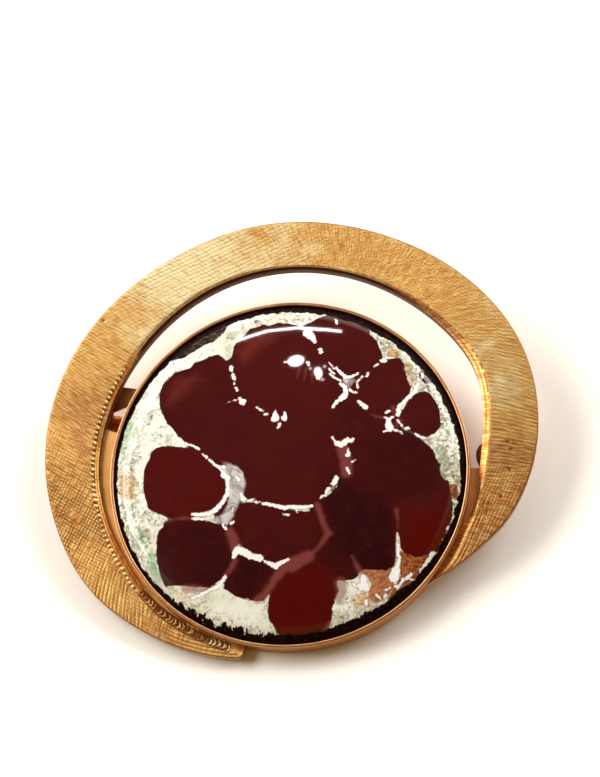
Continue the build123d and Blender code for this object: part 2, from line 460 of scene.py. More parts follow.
class Band:
    """The swirl band as a grid of rows along it and columns round its section, with its relief, its dark
    marks and its painted light and shade.
    """

    def __init__(self):
        rows, columns = band_rows(), band_columns()
        self.shape = self.n, self.m = len(rows), len(columns)
        base = np.repeat(rows[:, None], self.m, 1)
        middle = middle_radius(base)
        lean = np.tan(np.radians(engraved("slant", base))) / middle
        angle = base
        # a row's points turn with the cut lines, which changes their radii, so a few rounds settle them
        for _ in range(4):
            outer, foot, inner = band_radii(angle)
            top = outer - EDGE_ROUNDING * np.minimum(1, (outer - inner) / 0.5)
            radii = {"outer": outer, "foot": foot, "inner": inner, "top": top}
            ends = [(radii[c.start][:, k], radii[c.end][:, k], c.share) for k, c in enumerate(columns)]
            r = np.stack([start + (end - start) * share for start, end, share in ends], 1)
            angle = np.clip(base + np.degrees((r - middle) * lean), TIP_ANGLE, TAIL_ANGLE)
        outer, foot, inner = band_radii(angle)
        self.r, self.angle = r, angle
        self.z = np.tile([c.height for c in columns], (self.n, 1))
        self.from_outline, self.from_face = outer - r, r - inner
        self.border_width = inner - foot
        parts, names = np.array([c.part for c in columns]), ("wall", "border", "face", "edge")
        self.wall, self.border, self.face, self.edge = (parts == name for name in names)
        self.near_border = self.border | (self.face & (self.from_face < 0.3))
        face_edge = inner[:, FACE_EDGE_COLUMN], angle[:, FACE_EDGE_COLUMN]
        run = np.concatenate([[0], np.cumsum(np.hypot(*np.diff(around(*face_edge))))])
        self.arc = run[:, None] + np.radians(angle - face_edge[1][:, None]) * inner
        self.dark = np.zeros(self.shape)
        # painted light and shade along the band: pale where the light falls, darker and copper-coloured away
        # from it
        self.tone = engraved("tone", angle)

    def darken(self, amount):
        self.dark = np.maximum(self.dark, amount)

    def engrave(self):
        """Cut lines across the face, of uneven depth, and long lines near the ends."""
        row = np.arange(self.n)
        line, within = row // ROWS_PER_LINE, row % ROWS_PER_LINE / ROWS_PER_LINE
        rng = np.random.default_rng(7)
        depth = rng.uniform(0.6, 1.0, line.max() + 1)[line]
        shift = rng.uniform(-0.1, 0.1, line.max() + 1)[line]
        lines = (ridge(within + shift - 0.5, 0.34) ** 0.8 * depth)[:, None]
        fade = 0.72 + 0.28 * np.stack([rough_line(self.m, 5, 100 + k) for k in line])
        cut = engraved("cut", self.angle)
        groove = lines * fade * cut
        tail, tip = smooth(self.angle, 222, 238), smooth(self.angle, -3, -9)
        for line in TAIL_LINES:
            groove = np.maximum(groove, tail * ridge(self.from_outline - line.distance, line.width))
        for line in TIP_LINES:
            groove = np.maximum(groove, tip * ridge(self.from_face - line.distance, line.width))
        groove *= self.face * (smooth(self.from_outline, 0.0, 0.12) * 0.6 + 0.4)
        self.z -= CUT_DEPTH * groove
        self.darken(groove)
        # nicks where the cut lines run out over the edge
        self.z -= NICK_DEPTH * lines * cut * self.edge

    def bead(self):
        """A row of uneven beads in a trough along the border's edge to the face, at the left."""
        there = over(self.angle, BEADED) * self.near_border
        number = np.floor(self.arc / BEAD_PITCH).astype(int)
        along, across, size = np.random.default_rng(3).uniform(-1, 1, (3, number.max() + 2))
        a = (self.arc / BEAD_PITCH - number - 0.5) * BEAD_PITCH + 0.04 * along[number]
        b = self.from_face + 0.05 + 0.02 * across[number]
        size = 1 + 0.2 * size[number]
        bead = bulge((a / (BEAD_LENGTH * size)) ** 2 + (b / (BEAD_WIDTH * size)) ** 2)
        trough = ridge(self.from_face + 0.05, TROUGH_WIDTH)
        self.z += there * (BEAD_HEIGHT * bead - TROUGH_DEPTH * smooth(trough, 0, 0.6))
        # painted shade in the trough round the beads, and a painted highlight on each bead
        self.darken(there * smooth(trough, 0.1, 0.7) * (1 - smooth(bead, 0.05, 0.45)))
        self.tone += there * 1.5 * bead
        foot_line = self.border * over(self.angle, FOOT_LINED)
        foot_line = foot_line * ridge(self.from_face + self.border_width * 0.72, 0.06)
        self.z -= FOOT_LINE_DEPTH * foot_line
        self.darken(0.9 * foot_line)

    def rope(self):
        """A milled rope along the border, between the beads and the tail."""
        half = np.clip(0.42 * self.border_width, 0.1, 0.40)
        across = (self.from_face + 0.45 * np.minimum(self.border_width, 0.9)) / half
        there = over(self.angle, ROPED) * self.near_border * (np.abs(across) < 1.15)
        wander = 0.25 * rough_line(self.n, 11, 11)[:, None]
        number = np.floor((self.arc + wander) / ROPE_PITCH).astype(int) % STRANDS
        height, lean = np.random.default_rng(12).uniform(0.25, 1, (2, STRANDS))
        lean = 0.5 * (lean[number] - 0.6)
        turn = np.mod((self.arc + 0.35 * across**2 + lean * across + wander) / ROPE_PITCH, 1)
        strand = bulge(((turn - 0.5) / 0.36) ** 2) * bulge(across**2) * height[number]
        self.z += there * (ROPE_HEIGHT * strand - ROPE_DEPTH)
        # painted shade between the strands, and a painted highlight along each
        self.darken(1.15 * there * (1 - smooth(strand, 0.15, 0.8)))
        self.tone += there * 0.9 * strand

    def plain_border(self):
        """Elsewhere the border is plain, with a fine groove and a painted highlight line along its edge to
        the face.
        """
        plain = (1 - smooth(self.angle, *PLAIN_END)) * self.near_border
        rail = ridge(self.from_face + 0.02, 0.05)
        self.z -= plain * RAIL_DEPTH * rail
        self.darken(0.8 * plain * rail * smooth(np.abs(rough_line(self.n, 14, 21))[:, None], 0.1, 0.5))
        # the painted highlight line along the edge to the face
        self.tone += plain * ridge(self.from_face + 0.1, 0.12, 1.3) * smooth(self.angle, 60, 70)
        # at the right the border is painted darker and copper-coloured, as shade, with dark specks and a
        # brown line along it
        coppery = self.border * over(self.angle, SHADED_RIGHT)
        self.tone -= coppery
        self.darken(0.65 * coppery * ridge(self.from_face / self.border_width + 0.6, 0.14, 1.3))
        specks = np.random.default_rng(5).uniform(0, 1, self.n // SPECK_ROWS + 1) > 0.55
        specks = specks[np.arange(self.n) // SPECK_ROWS][:, None] * self.border * over(self.angle, SPECKED)
        self.darken(specks * ridge(self.from_face + 0.13, 0.07, 1.3))
        # over the top its foot is painted in shade, and so is the whole upright inner wall
        low = smooth(-self.from_face / np.maximum(self.border_width, 0.1), 0.35, 0.6)
        self.darken(1.7 * self.border * over(self.angle, SHADED_FOOT) * low)
        self.darken(1.7 * self.wall)

    def outline_shade_and_pits(self):
        """A thin painted shade line along the outline, and a few pits in the face."""
        self.darken(0.9 * (self.face | self.edge) * (1 - smooth(self.from_outline, 0.03, 0.12)))
        x, y = around(self.r, self.angle)
        for pit_x, pit_y in PITS:
            pit = self.face * ridge(np.hypot(x - pit_x, y - pit_y), PIT_RADIUS, 1.2)
            self.darken(1.3 * pit)
            self.z -= PIT_DEPTH * pit

    def piece(self, material):
        n, m = self.shape
        verts = np.stack([*around(self.r, self.angle), self.z], -1).reshape(-1, 3)
        ends = [list(range(m)), [(n - 1) * m + c for c in reversed(range(m))]]
        steps = np.hypot(np.diff(self.r, axis=1), np.diff(self.z, axis=1))
        attributes = {
            "dark": self.dark,
            "line_u": np.repeat(np.arange(n)[:, None] * ROW_PITCH, m, 1),
            "line_v": np.cumsum(np.concatenate([np.zeros((n, 1)), steps], 1), 1),
            "tone": self.tone,
        }
        for name in ("matt", "down", "steep", "shallow"):
            attributes[name] = engraved(name, self.angle) * self.face
        faces = tube_faces(n, m) + ends
        mesh_piece("swirl_band", verts, faces, "swirl_frame", material, attributes, 50)


def swirl_band(material):
    band = Band()
    band.engrave()
    band.bead()
    band.rope()
    band.plain_border()
    band.outline_shade_and_pits()
    band.piece(material)


BEZEL_WAVE = 0.008


def bezel(material):
    """The thin wall round the disc, a little uneven, with a dark line on top between it and the glass."""
    segments = 480
    corner = [around(1, angle) for angle in range(0, 91, 18)]
    r, top = BEZEL_ROUNDING, BEZEL_TOP
    profile = [(BEZEL_BORE, SEAT_THICKNESS - 0.2)]
    profile += [(BEZEL_BORE + r - r * c, top - r + r * s) for c, s in corner]
    profile += [(BEZEL_RADIUS - r + r * c, top - r + r * s) for c, s in corner[::-1]]
    profile += [(BEZEL_RADIUS, 1.3), (BEZEL_RADIUS, SEAT_THICKNESS / 2)]
    radius, height = np.array(profile).T
    turn = np.linspace(0, 2 * math.pi, segments, endpoint=False)[:, None]
    uneven = BEZEL_WAVE * (np.sin(5 * turn + 1) + 0.7 * np.sin(13 * turn) + 0.5 * np.sin(31 * turn + 2))
    radius = radius + uneven
    height = height + 0.6 * uneven * (height > BEZEL_TOP - 0.4)
    verts = np.stack([radius * np.cos(turn), radius * np.sin(turn), height], -1).reshape(-1, 3)
    dark_line = np.tile(np.arange(len(profile)) == 1 + len(corner), segments)
    faces = tube_faces(segments, len(profile), closed=True)
    mesh_piece("bezel", verts, faces, "swirl_frame", material, {"seam": dark_line}, 40)


def gallery(material):
    """The plate under band and disc, with the seat's hole and the gap."""
    turn = np.append(np.linspace(TAIL_ANGLE - 360, TAIL_ANGLE, 901), [GAP_START, GAP_END, TIP_ANGLE])
    turn = np.unique(turn)[:-1]
    in_band, at = turn >= TIP_ANGLE, np.maximum(turn, TIP_ANGLE)
    outer = np.maximum(np.where(in_band, outline_spline(at) - GALLERY_SETBACK, 0), GALLERY_RADIUS)
    wall = np.minimum(BEZEL_RADIUS, outer)
    border = np.clip(np.where(in_band, border_spline(at), 0), wall, outer)
    radii = np.stack([np.full_like(turn, SEAT_BORE), wall, border, outer], 1)
    n = len(turn)
    index, points = {}, []

    def point(i, ring):
        """The number of a point. Rings that meet share it."""
        radius = radii[i % n, ring]
        key = (i % n, round(float(radius), 4))
        if key not in index:
            index[key] = len(points)
            points.append(around(radius, turn[i % n]))
        return index[key]

    flat = []
    for i in range(n):
        for ring in (0, 2) if GAP_START <= turn[i] < GAP_END else (0, 1, 2):
            face = [point(i, ring), point(i, ring + 1), point(i + 1, ring + 1), point(i + 1, ring)]
            face = [v for k, v in enumerate(face) if v != face[k - 1]]
            if len(set(face)) > 2:
                flat.append(face)
    count = len(points)
    verts = [(x, y, z) for z in (SEAT_THICKNESS, 0.0) for x, y in points]
    faces = flat + [[v + count for v in reversed(face)] for face in flat]
    sides = dict.fromkeys((a, b) for face in flat for a, b in zip(face, face[1:] + face[:1]))
    faces += [[a, a + count, b + count, b] for a, b in sides if (b, a) not in sides]
    mesh_piece("gallery_plate", verts, faces, "swirl_frame", material, smooth_angle=30)


def tenths(*numbers):
    """Points from x and y in turn, in whole tenths of a millimetre."""
    return np.reshape(numbers, (-1, 2)) / 10


# A mark along a line, with its half width at the start and the end
Stroke = namedtuple("Stroke", "start_half_width end_half_width points")


def strokes(*rows):
    """Strokes from rows of whole hundredths of a millimetre: the two half widths, then x and y in turn."""
    return [Stroke(start / 100, end / 100, np.reshape(points, (-1, 2)) / 100) for start, end, *points in rows]


# The enamel's pattern as seen from above. tint: from 0, nearly black, to 1, bright red
Cell = namedtuple("Cell", "tint outline")
cells = [
    Cell(0.3, tenths(
        -117, 70, -117, 78, -114, 86, -103, 96, -94, 99, -89, 100, -86, 104, -67, 111, -63, 112, -56, 104,
        -52, 104, -46, 76, -39, 62, -31, 58, -25, 53, -22, 44, -25, 28, -32, 19, -52, 3, -63, 6, -86, 20,
        -100, 35, -104, 41, -109, 46, -112, 52, -115, 60
    )),
    Cell(0.42, tenths(
        -51, 104, -49, 119, -45, 124, -38, 131, -35, 136, -29, 137, -23, 139, -16, 138, -9, 140, 0, 140,
        9, 137, 22, 120, 26, 118, 30, 112, 32, 105, 43, 84, 53, 69, 53, 63, 47, 59, 36, 43, 18, 36, 0, 41,
        -39, 60, -46, 74, -50, 93
    )),
    Cell(0.34, tenths(
        -39, 64, -25, 55, 7, 43, 29, 42, 40, 49, 45, 41, 43, 24, 47, 16, 48, 7, 48, -4, 45, -15, 38, -24,
        25, -38, -1, -37, -14, -35, -32, -30, -37, -28, -39, -21, -38, -12, -39, -5, -45, 1, -65, 6,
        -60, 19, -49, 30, -45, 49
    )),
    Cell(0.4, tenths(
        15, 136, 28, 144, 35, 146, 42, 154, 56, 152, 67, 146, 76, 136, 75, 126, 81, 119, 84, 112, 87, 104,
        85, 98, 74, 86, 71, 80, 65, 83, 57, 83, 52, 85, 39, 98, 30, 112, 28, 118, 24, 125, 17, 131
    )),
    Cell(0.45, tenths(
        90, 101, 102, 102, 105, 96, 108, 80, 112, 73, 110, 66, 105, 58, 100, 53, 98, 47, 84, 46, 77, 48,
        68, 52, 59, 60, 57, 66, 63, 69, 73, 87, 79, 94
    )),
    Cell(0.3, tenths(
        119, 68, 124, 69, 129, 67, 135, 57, 137, 50, 138, 37, 136, 32, 132, 28, 126, 25, 120, 26, 109, 32,
        104, 37, 102, 43, 103, 48, 112, 64
    )),
    Cell(0.26, tenths(
        53, 65, 59, 64, 66, 60, 73, 52, 87, 49, 91, 43, 91, 34, 89, 27, 61, 20, 54, 19, 47, 20, 43, 24,
        43, 37, 38, 49, 45, 58
    )),
    Cell(0.2, tenths(
        87, 30, 96, 31, 110, 28, 117, 25, 124, 19, 130, 13, 136, -1, 136, -8, 142, -21, 143, -32, 136, -35,
        118, -38, 104, -39, 97, -45, 90, -39, 74, -34, 62, -27, 57, -17, 58, 5, 57, 16, 61, 24, 75, 28
    )),
    Cell(0.75, tenths(
        98, -41, 106, -37, 136, -32, 143, -28, 145, -47, 139, -71, 135, -78, 131, -80, 127, -79, 123, -83,
        117, -85, 104, -82, 101, -78, 98, -52
    )),
    Cell(0.28, tenths(22, -32, 33, -32, 39, -50, 42, -70, 35, -74, 28, -60, 23, -44)),
    Cell(0.28, tenths(
        42, -65, 23, -87, 12, -97, -1, -98, -22, -122, -33, -120, -18, -94, -1, -82, 21, -74, 32, -62
    )),
    Cell(0.22, tenths(-48, -66, -39, -78, -22, -87, -41, -90, -52, -104, -58, -100, -50, -81)),
    Cell(0.3, tenths(-54, -27, -41, -28, -43, -40, -46, -49, -45, -67, -54, -66, -66, -40)),
    Cell(0.36, tenths(29, 111, 34, 109, 54, 87, 70, 86, 68, 74, 59, 64, 52, 68, 43, 80, 32, 99)),
    Cell(0.3, tenths(88, 49, 100, 51, 104, 30, 90, 28)),
    Cell(0.28, tenths(42, 27, 58, 23, 59, -17, 42, -19, 48, 3)),
    Cell(0.38, tenths(
        97, -34, 110, -28, 143, -17, 145, -40, 144, -51, 132, -48, 121, -47, 109, -48, 99, -51
    )),
    Cell(0.05, tenths(
        57, -15, 66, -23, 76, -30, 90, -36, 97, -43, 99, -54, 96, -74, 96, -86, 93, -94, 87, -97, 65, -96,
        59, -89, 54, -80, 47, -73, 41, -68, 37, -61, 35, -52, 33, -41, 34, -33, 52, -16
    )),
    Cell(0.55, tenths(
        -130, 4, -130, -15, -126, -32, -122, -35, -107, -42, -99, -44, -87, -44, -68, -38, -62, -33,
        -56, -26, -54, -19, -55, -11, -57, -5, -62, 2, -75, 13, -82, 18, -91, 21, -106, 24, -113, 25,
        -119, 24, -123, 19, -125, 13, -128, 9
    )),
    Cell(0.16, tenths(
        -112, -51, -110, -47, -105, -45, -96, -44, -87, -45, -68, -48, -62, -52, -57, -57, -54, -63,
        -51, -71, -49, -80, -51, -88, -54, -95, -58, -100, -64, -105, -70, -108, -103, -104, -109, -104,
        -112, -99, -115, -91, -117, -82, -118, -71, -116, -55
    )),
    Cell(0.32, tenths(
        -44, -41, -41, -35, -36, -33, -23, -34, -16, -37, -1, -41, 22, -44, 27, -51, 30, -60, 30, -69,
        26, -77, 19, -82, 10, -87, 1, -87, -6, -86, -15, -88, -36, -75, -41, -71, -45, -67, -47, -58,
        -47, -49
    )),
    Cell(0.1, tenths(
        -54, -103, -52, -96, -49, -90, -45, -86, -36, -85, -25, -85, -16, -88, -12, -94, -14, -103,
        -18, -109, -24, -114, -31, -118, -39, -119, -45, -117, -56, -109
    )),
    Cell(0.7, tenths(
        12, -92, 3, -93, -3, -96, -8, -101, -14, -114, -16, -121, -17, -129, -16, -138, -7, -153, 10, -157,
        26, -155, 35, -146, 38, -140, 40, -129, 45, -115, 44, -108, 41, -101, 35, -96, 21, -91
    )),
    Cell(0.18, tenths(
        39, -66, 46, -70, 53, -78, 63, -94, 65, -97, 62, -103, 57, -105, 50, -106, 45, -105, 35, -97,
        21, -89, 22, -80, 34, -68
    )),
    Cell(0.45, tenths(121, 92, 126, 91, 131, 83, 129, 77, 124, 76, 121, 80, 118, 86)),
]
white_marks = strokes(
    (13, 13, -509, 977, -504, 946),
    (11, 20, -489, 905, -479, 864),
    (6, 6, -478, 814, -478, 804),
    (13, 11, -458, 763, -449, 742),
    (9, 31, -424, 662, -396, 621),
    (3, 5, -538, 625, -474, 641, -419, 642),
    (7, 9, -263, 559, -208, 518),
    (13, 13, -190, 492, -171, 492),
    (8, 37, -95, 517, -99, 449),
    (5, 26, -13, 504, -13, 446),
    (14, 6, -53, 390, -75, 352),
    (43, 13, 190, 1286, 227, 1244, 255, 1191),
    (17, 17, 301, 1108, 310, 1087),
    (24, 17, 285, 896, 304, 846, 286, 826),
    (8, 8, -15, 998, 31, 996),
    (11, 8, 185, 990, 203, 959),
    (6, 8, 384, 979, 429, 912),
    (8, 8, 389, 913, 430, 867),
    (8, 17, 447, 927, 483, 881, 529, 830),
    (11, 7, 520, 830, 582, 829, 645, 863),
    (7, 8, 394, 863, 439, 822, 493, 791),
    (9, 8, 681, 828, 636, 779),
    (8, 7, 636, 759, 645, 720),
    (14, 24, 493, 761, 529, 731, 538, 682, 520, 633),
    (24, 8, 520, 643, 467, 595, 431, 557, 413, 528),
    (8, 11, 565, 711, 592, 686, 627, 671),
    (8, 23, 645, 592, 681, 562, 707, 533),
    (24, 9, 878, 997, 851, 987),
    (6, 8, 788, 932, 824, 962),
    (7, 7, 721, 837, 739, 872),
    (17, 17, 1180, 759, 1153, 690, 1099, 630, 1054, 581),
    (17, 14, 1054, 581, 1009, 533, 1000, 455),
    (13, 8, 894, 479, 929, 493),
    (9, 9, 442, 1416, 452, 1372),
    (8, 8, 884, 436, 920, 416, 955, 436),
    (20, 31, 920, 407, 915, 369, 928, 330),
    (8, 5, 928, 330, 972, 302),
    (8, 9, 874, 297, 945, 316, 1007, 302, 1033, 283),
    (7, 9, 990, 407, 1034, 354),
    (11, 11, 1065, 331, 1091, 326),
    (8, 9, 1148, 275, 1183, 256, 1227, 238),
    (8, 8, 413, 250, 440, 212),
    (23, 23, 457, 192, 502, 173, 546, 219),
    (17, 8, 546, 210, 591, 209, 600, 228),
    (4, 20, 555, 144, 554, 78),
    (7, 7, 589, 12, 616, 30),
    (11, 9, 545, -43, 562, -90),
    (20, 24, 447, -134, 429, -180),
    (13, 8, 384, -225, 357, -261, 348, -298),
    (5, 5, 304, -315, 321, -297),
    (9, 24, -402, -251, -384, -298),
    (8, 8, -330, -314, -285, -312),
    (10, 8, -267, -331, -231, -333),
    (13, 18, -204, -348, -123, -365, -43, -391, 1, -397),
    (14, 13, 1, -388, 90, -391, 152, -397, 232, -386),
    (7, 5, 90, -409, 99, -441),
    (7, 8, -26, -455, 28, -461),
    (9, 9, -909, 251, -844, 227, -788, 194),
    (8, 9, -751, 144, -713, 103),
    (9, 11, -695, 83, -649, 42, -612, 12),
    (11, 18, -847, -408, -774, -417, -701, -417, -637, -385),
    (18, 14, -637, -385, -574, -324, -528, -244, -520, -180),
    (13, 11, -520, -180, -529, -115, -566, -38, -612, 21),
    (9, 11, -838, -454, -746, -455),
    (13, 13, -438, -92, -420, -121),
    (13, 10, -575, 9, -548, 8),
    (28, 11, -557, -67, -511, -97),
    (13, 7, -564, -525, -538, -563),
    (9, 13, -492, -520, -474, -503),
    (7, 7, -483, -439, -474, -376),
    (20, 31, -467, -809, -439, -756),
    (34, 28, -430, -757, -377, -777, -323, -815),
    (23, 30, -323, -815, -279, -826, -234, -837),
    (11, 20, -190, -870, -137, -894, -93, -922),
    (17, 9, -93, -913, -39, -879, 23, -859),
    (13, 17, -550, -990, -586, -1041, -623, -1075),
    (11, 11, -623, -1075, -704, -1105, -796, -1144, -850, -1159),
    (6, 10, 975, -638, 982, -718, 981, -789),
    (10, 17, 981, -789, 988, -877, 968, -965),
    (34, 43, 959, -974, 941, -1027),
    (8, 17, 939, -1105, 973, -1113),
    (13, 17, 1284, -810, 1248, -871),
    (11, 14, 1239, -881, 1203, -934, 1167, -978),
    (8, 8, 1088, -1041, 1112, -1056),
    (17, 17, 634, -1096, 651, -1131),
    (14, 11, 692, -1226, 691, -1270),
    (11, 11, 849, -1209, 867, -1183),
    (14, 11, 1000, -1079, 1018, -1053),
    (17, 11, 1053, -1035, 1089, -999),
    (17, 17, 1212, -925, 1257, -862),
    (24, 31, 671, -1026, 678, -1079, 695, -1122),
    (8, 7, 582, -1078, 616, -1121),
    (7, 7, 868, -1140, 904, -1123),
    (11, 11, 789, -1184, 814, -1210),
    (7, 8, 761, -1269, 778, -1277),
    (8, 6, 1420, -574, 1406, -627),
    (5, 4, 1374, -690, 1355, -735),
    (8, 7, 1216, 861, 1220, 820),
)
veils = strokes(
    (62, 62, 519, 125, 536, 31, 544, -80),
    (29, 32, 277, -378, 302, -442, 328, -533, 362, -614),
    (32, 24, 380, -633, 326, -703, 272, -773, 218, -816),
    (62, 70, 192, -833, 112, -875, 40, -908),
    (54, 46, 32, -908, -40, -950, -94, -1019),
    (41, 46, -94, -1001, -140, -1087, -194, -1155, -257, -1205),
    (51, 57, -501, -592, -466, -666, -448, -729),
    (32, 26, -458, -845, -495, -914, -540, -973),
    (12, 37, 578, -840, 620, -929, 654, -991),
    (62, 51, 477, -1076, 484, -1155, 457, -1224),
    (26, 24, 373, -1429, 317, -1494),
    (46, 35, -922, -1075, -831, -1081, -722, -1096),
    (26, 8, 975, -431, 982, -503, 985, -611),
    (18, 35, 1227, 238, 1288, 191),
    (16, 16, -1095, -458, -975, -440, -838, -445),
    (21, 24, 964, 484, 956, 532),
    (18, 10, 893, 426, 822, 436, 760, 465),
    (29, 18, 1008, 398, 981, 350),
    (11, 8, 122, 942, 96, 833),
    (11, 8, 177, 930, 160, 801),
    (11, 8, 222, 918, 232, 788),
)
stains_and_sheen = {
    "mist": [
        tenths(
            -58, 7, -44, 1, -38, -5, -36, -13, -37, -22, -41, -31, -43, -38, -47, -46, -53, -53, -61, -51,
            -72, -48, -66, -45, -57, -42, -52, -33, -50, -23, -51, -10
        ),
        tenths(51, 81, 57, 82, 63, 80, 56, 70, 52, 75),
    ],
    # painted sheen over two of the red cells
    "painted_sheen": [
        tenths(-47, 115, -38, 126, -23, 134, -3, 135, -10, 123, -23, 113, -34, 102, -43, 98),
        tenths(-111, 78, -100, 91, -83, 95, -74, 88, -88, 78, -101, 65, -109, 60),
    ],
    "soot": [
        tenths(
            -111, 109, -108, 116, -100, 123, -82, 136, -63, 141, -56, 140, -58, 133, -68, 125, -76, 122,
            -97, 110
        ),
        tenths(95, -116, 108, -108, 120, -99, 120, -104, 107, -115, 97, -122, 90, -122),
    ],
    "ochre": [
        tenths(-153, 7, -145, 3, -139, -5, -139, -18, -144, -28, -150, -22, -154, -8),
        tenths(62, -117, 69, -117, 74, -123, 72, -129, 66, -128, 61, -123),
        tenths(90, 110, 98, 112, 105, 108, 102, 103, 93, 103),
        tenths(106, 98, 111, 94, 114, 82, 110, 76, 107, 86),
        tenths(-100, -108, -90, -110, -92, -117, -100, -115),
    ],
    "peach": [
        tenths(
            63, -97, 70, -92, 82, -90, 93, -92, 94, -111, 91, -117, 85, -123, 79, -126, 74, -124, 71, -116,
            74, -109, 71, -103
        ),
    ],
    "brown": [
        tenths(
            98, -80, 110, -79, 121, -80, 129, -78, 127, -87, 121, -97, 113, -107, 97, -122, 90, -126,
            87, -123, 99, -102, 100, -89
        ),
        tenths(144, -19, 151, -18, 152, -27, 150, -33, 144, -31),
    ],
    "mint": [
        tenths(-152, 56, -143, 56, -138, 45, -140, 31, -145, 26, -153, 30),
        tenths(-152, 28, -143, 24, -147, 11, -153, 14),
        tenths(-127, -68, -118, -76, -112, -102, -117, -97, -124, -85),
        tenths(-138, -55, -131, -54, -131, -65, -137, -64),
    ],
    "grey": [
        tenths(130, 14, 142, 16, 145, 5, 147, -6, 141, -10, 136, 1),
        tenths(-57, 136, -45, 133, -51, 127, -56, 128),
        tenths(-58, 120, -52, 119, -53, 107, -57, 111),
        tenths(147, 2, 154, 3, 153, -16, 148, -15),
    ],
}
# The burnt black rim round the disc: its width, and how far it breaks up into teeth
rims = table(
    "Rim",
    "angle width ragged",
    (-180, 0.34, 0),
    (-165, 0.34, 0.1),
    (-150, 0.32, 0.05),
    (-138, 0.36, 0.15),
    (-127, 0.56, 0.7),
    (-120, 0.66, 1),
    (-105, 0.72, 1),
    (-90, 0.8, 0.4),
    (-75, 0.8, 0.15),
    (-62, 0.85, 0.25),
    (-50, 0.8, 0.2),
    (-38, 0.6, 0.2),
    (-25, 0.45, 0.2),
    (-10, 0.42, 0.2),
    (10, 0.55, 0.2),
    (30, 0.72, 0.2),
    (50, 0.8, 0.2),
    (70, 0.78, 0.2),
    (90, 0.74, 0.2),
    (105, 0.7, 0.1),
    (120, 0.66, 0.1),
    (140, 0.52, 0),
    (160, 0.4, 0),
    (180, 0.34, 0),
)
# How far the pale ground has curdled
CURDLED_ANGLES = [-180, -165, -150, -120, -90, -60, -30, 30, 60, 90, 110, 150, 165, 180]
CURDLED_SHARES = [0.8, 1.0, 0.4, 0.1, 0.3, 0.5, 1.0, 0.9, 1.0, 0.3, 0.0, 0.1, 0.8, 0.8]

DOME_RADIUS = (BLANK_RADIUS**2 + BLANK_RISE**2) / (2 * BLANK_RISE)
GLASS_GRID = 282
# How sharply cells run together where they meet, and how sharply their tints do
CELL_JOIN, TINT_JOIN = 5.0, 1.8


def dome_height(r, apex):
    return apex - DOME_RADIUS + np.sqrt(DOME_RADIUS**2 - r**2)


def glass_height(r):
    """Top of the glass: domed, then rounded down over the shoulder to the edge."""
    start = ENAMEL_RADIUS - SHOULDER_WIDTH
    height = dome_height(start, ENAMEL_APEX)
    lean = math.asin(start / DOME_RADIUS)
    inward = np.array([-math.sin(lean), -math.cos(lean)])
    to_edge = np.array([ENAMEL_RADIUS - start, ENAMEL_EDGE - height])
    radius = (to_edge @ to_edge) / (2 * (to_edge @ inward))
    x, z = np.array([start, height]) + inward * radius
    shoulder = z + np.sqrt(np.clip(radius**2 - (r - x) ** 2, 0, None))
    return np.where(r <= start, dome_height(np.minimum(r, start), ENAMEL_APEX), shoulder)


def from_segment(points, a, b):
    """Each point's distance from a segment, and how far along it the nearest place is, from 0 to 1."""
    d = b - a
    t = np.clip((points - a) @ d / (d @ d), 0, 1)
    return np.hypot(*(points - a - t[:, None] * d).T), t


def inside_by(points, outline):
    """How far each point lies inside a closed outline; negative outside."""
    nearest = np.full(len(points), np.inf)
    odd = np.zeros(len(points), bool)
    for a, b in zip(outline, np.roll(outline, -1, 0)):
        nearest = np.minimum(nearest, from_segment(points, a, b)[0])
        if a[1] != b[1]:
            crosses = (a[1] > points[:, 1]) != (b[1] > points[:, 1])
            slope = (b[0] - a[0]) * (points[:, 1] - a[1]) / (b[1] - a[1])
            odd ^= crosses & (points[:, 0] < slope + a[0])
    return np.where(odd, nearest, -nearest)


def on_stroke_by(points, stroke):
    """How far each point lies inside a stroke; negative outside."""
    line = stroke.points
    runs = np.concatenate([[0], np.cumsum(np.hypot(*np.diff(line, axis=0).T))])
    best = np.full(len(points), -np.inf)
    for a, b, start, end in zip(line, line[1:], runs, runs[1:]):
        distance, t = from_segment(points, a, b)
        share = (start + t * (end - start)) / runs[-1]
        half = stroke.start_half_width + (stroke.end_half_width - stroke.start_half_width) * share
        best = np.maximum(best, half - distance)
    return best


def disc_grid(n):
    """A square grid of n by n faces laid evenly over a disc of radius 1."""
    s = np.linspace(-1, 1, n + 1)
    a, b = np.meshgrid(s, s, indexing="ij")
    wide = np.abs(a) >= np.abs(b)
    safe_a, safe_b = np.where(a == 0, 1, a), np.where(b == 0, 1, b)
    turn = np.where(wide, math.pi / 4 * b / safe_a, math.pi / 2 - math.pi / 4 * a / safe_b)
    turn = np.where((a == 0) & (b == 0), 0, turn)
    r = np.where(wide, a, b)
    return np.stack([(r * np.cos(turn)).ravel(), (r * np.sin(turn)).ravel()], 1)


def enamel_pattern(plan):
    """What the glass shows at each point, by name: distances in mm or shares, a limit and the value below."""
    r, turn = np.hypot(*plan.T), np.degrees(np.arctan2(plan[:, 1], plan[:, 0]))
    by_cell = np.stack([inside_by(plan, c.outline) for c in cells])
    peak = by_cell.max(0)
    red = peak + np.log(np.exp(CELL_JOIN * (by_cell - peak)).sum(0)) / CELL_JOIN - 0.02
    near = np.exp(TINT_JOIN * np.clip(by_cell - peak, -6, 0))
    rim = np.interp(turn, column(rims, "angle"), column(rims, "width")) - (ENAMEL_RADIUS - r)
    pattern = {
        "red": (red, 2, -2),
        "tint": ((near * column(cells, "tint")[:, None]).sum(0) / near.sum(0), 1, 0),
        "white": (np.max([on_stroke_by(plan, s) for s in white_marks], 0), 1, -1),
        "veil": (np.max([on_stroke_by(plan, s) for s in veils], 0), 1, -1),
        "rim": (rim, 3, 3),
        "curdled": (np.interp(turn, CURDLED_ANGLES, CURDLED_SHARES), 1, 0),
        "ragged": (np.interp(turn, column(rims, "angle"), column(rims, "ragged")), 1, 0),
    }
    for name, outlines in stains_and_sheen.items():
        pattern[name] = (np.max([inside_by(plan, outline) for outline in outlines], 0), 2, -2)
    return pattern


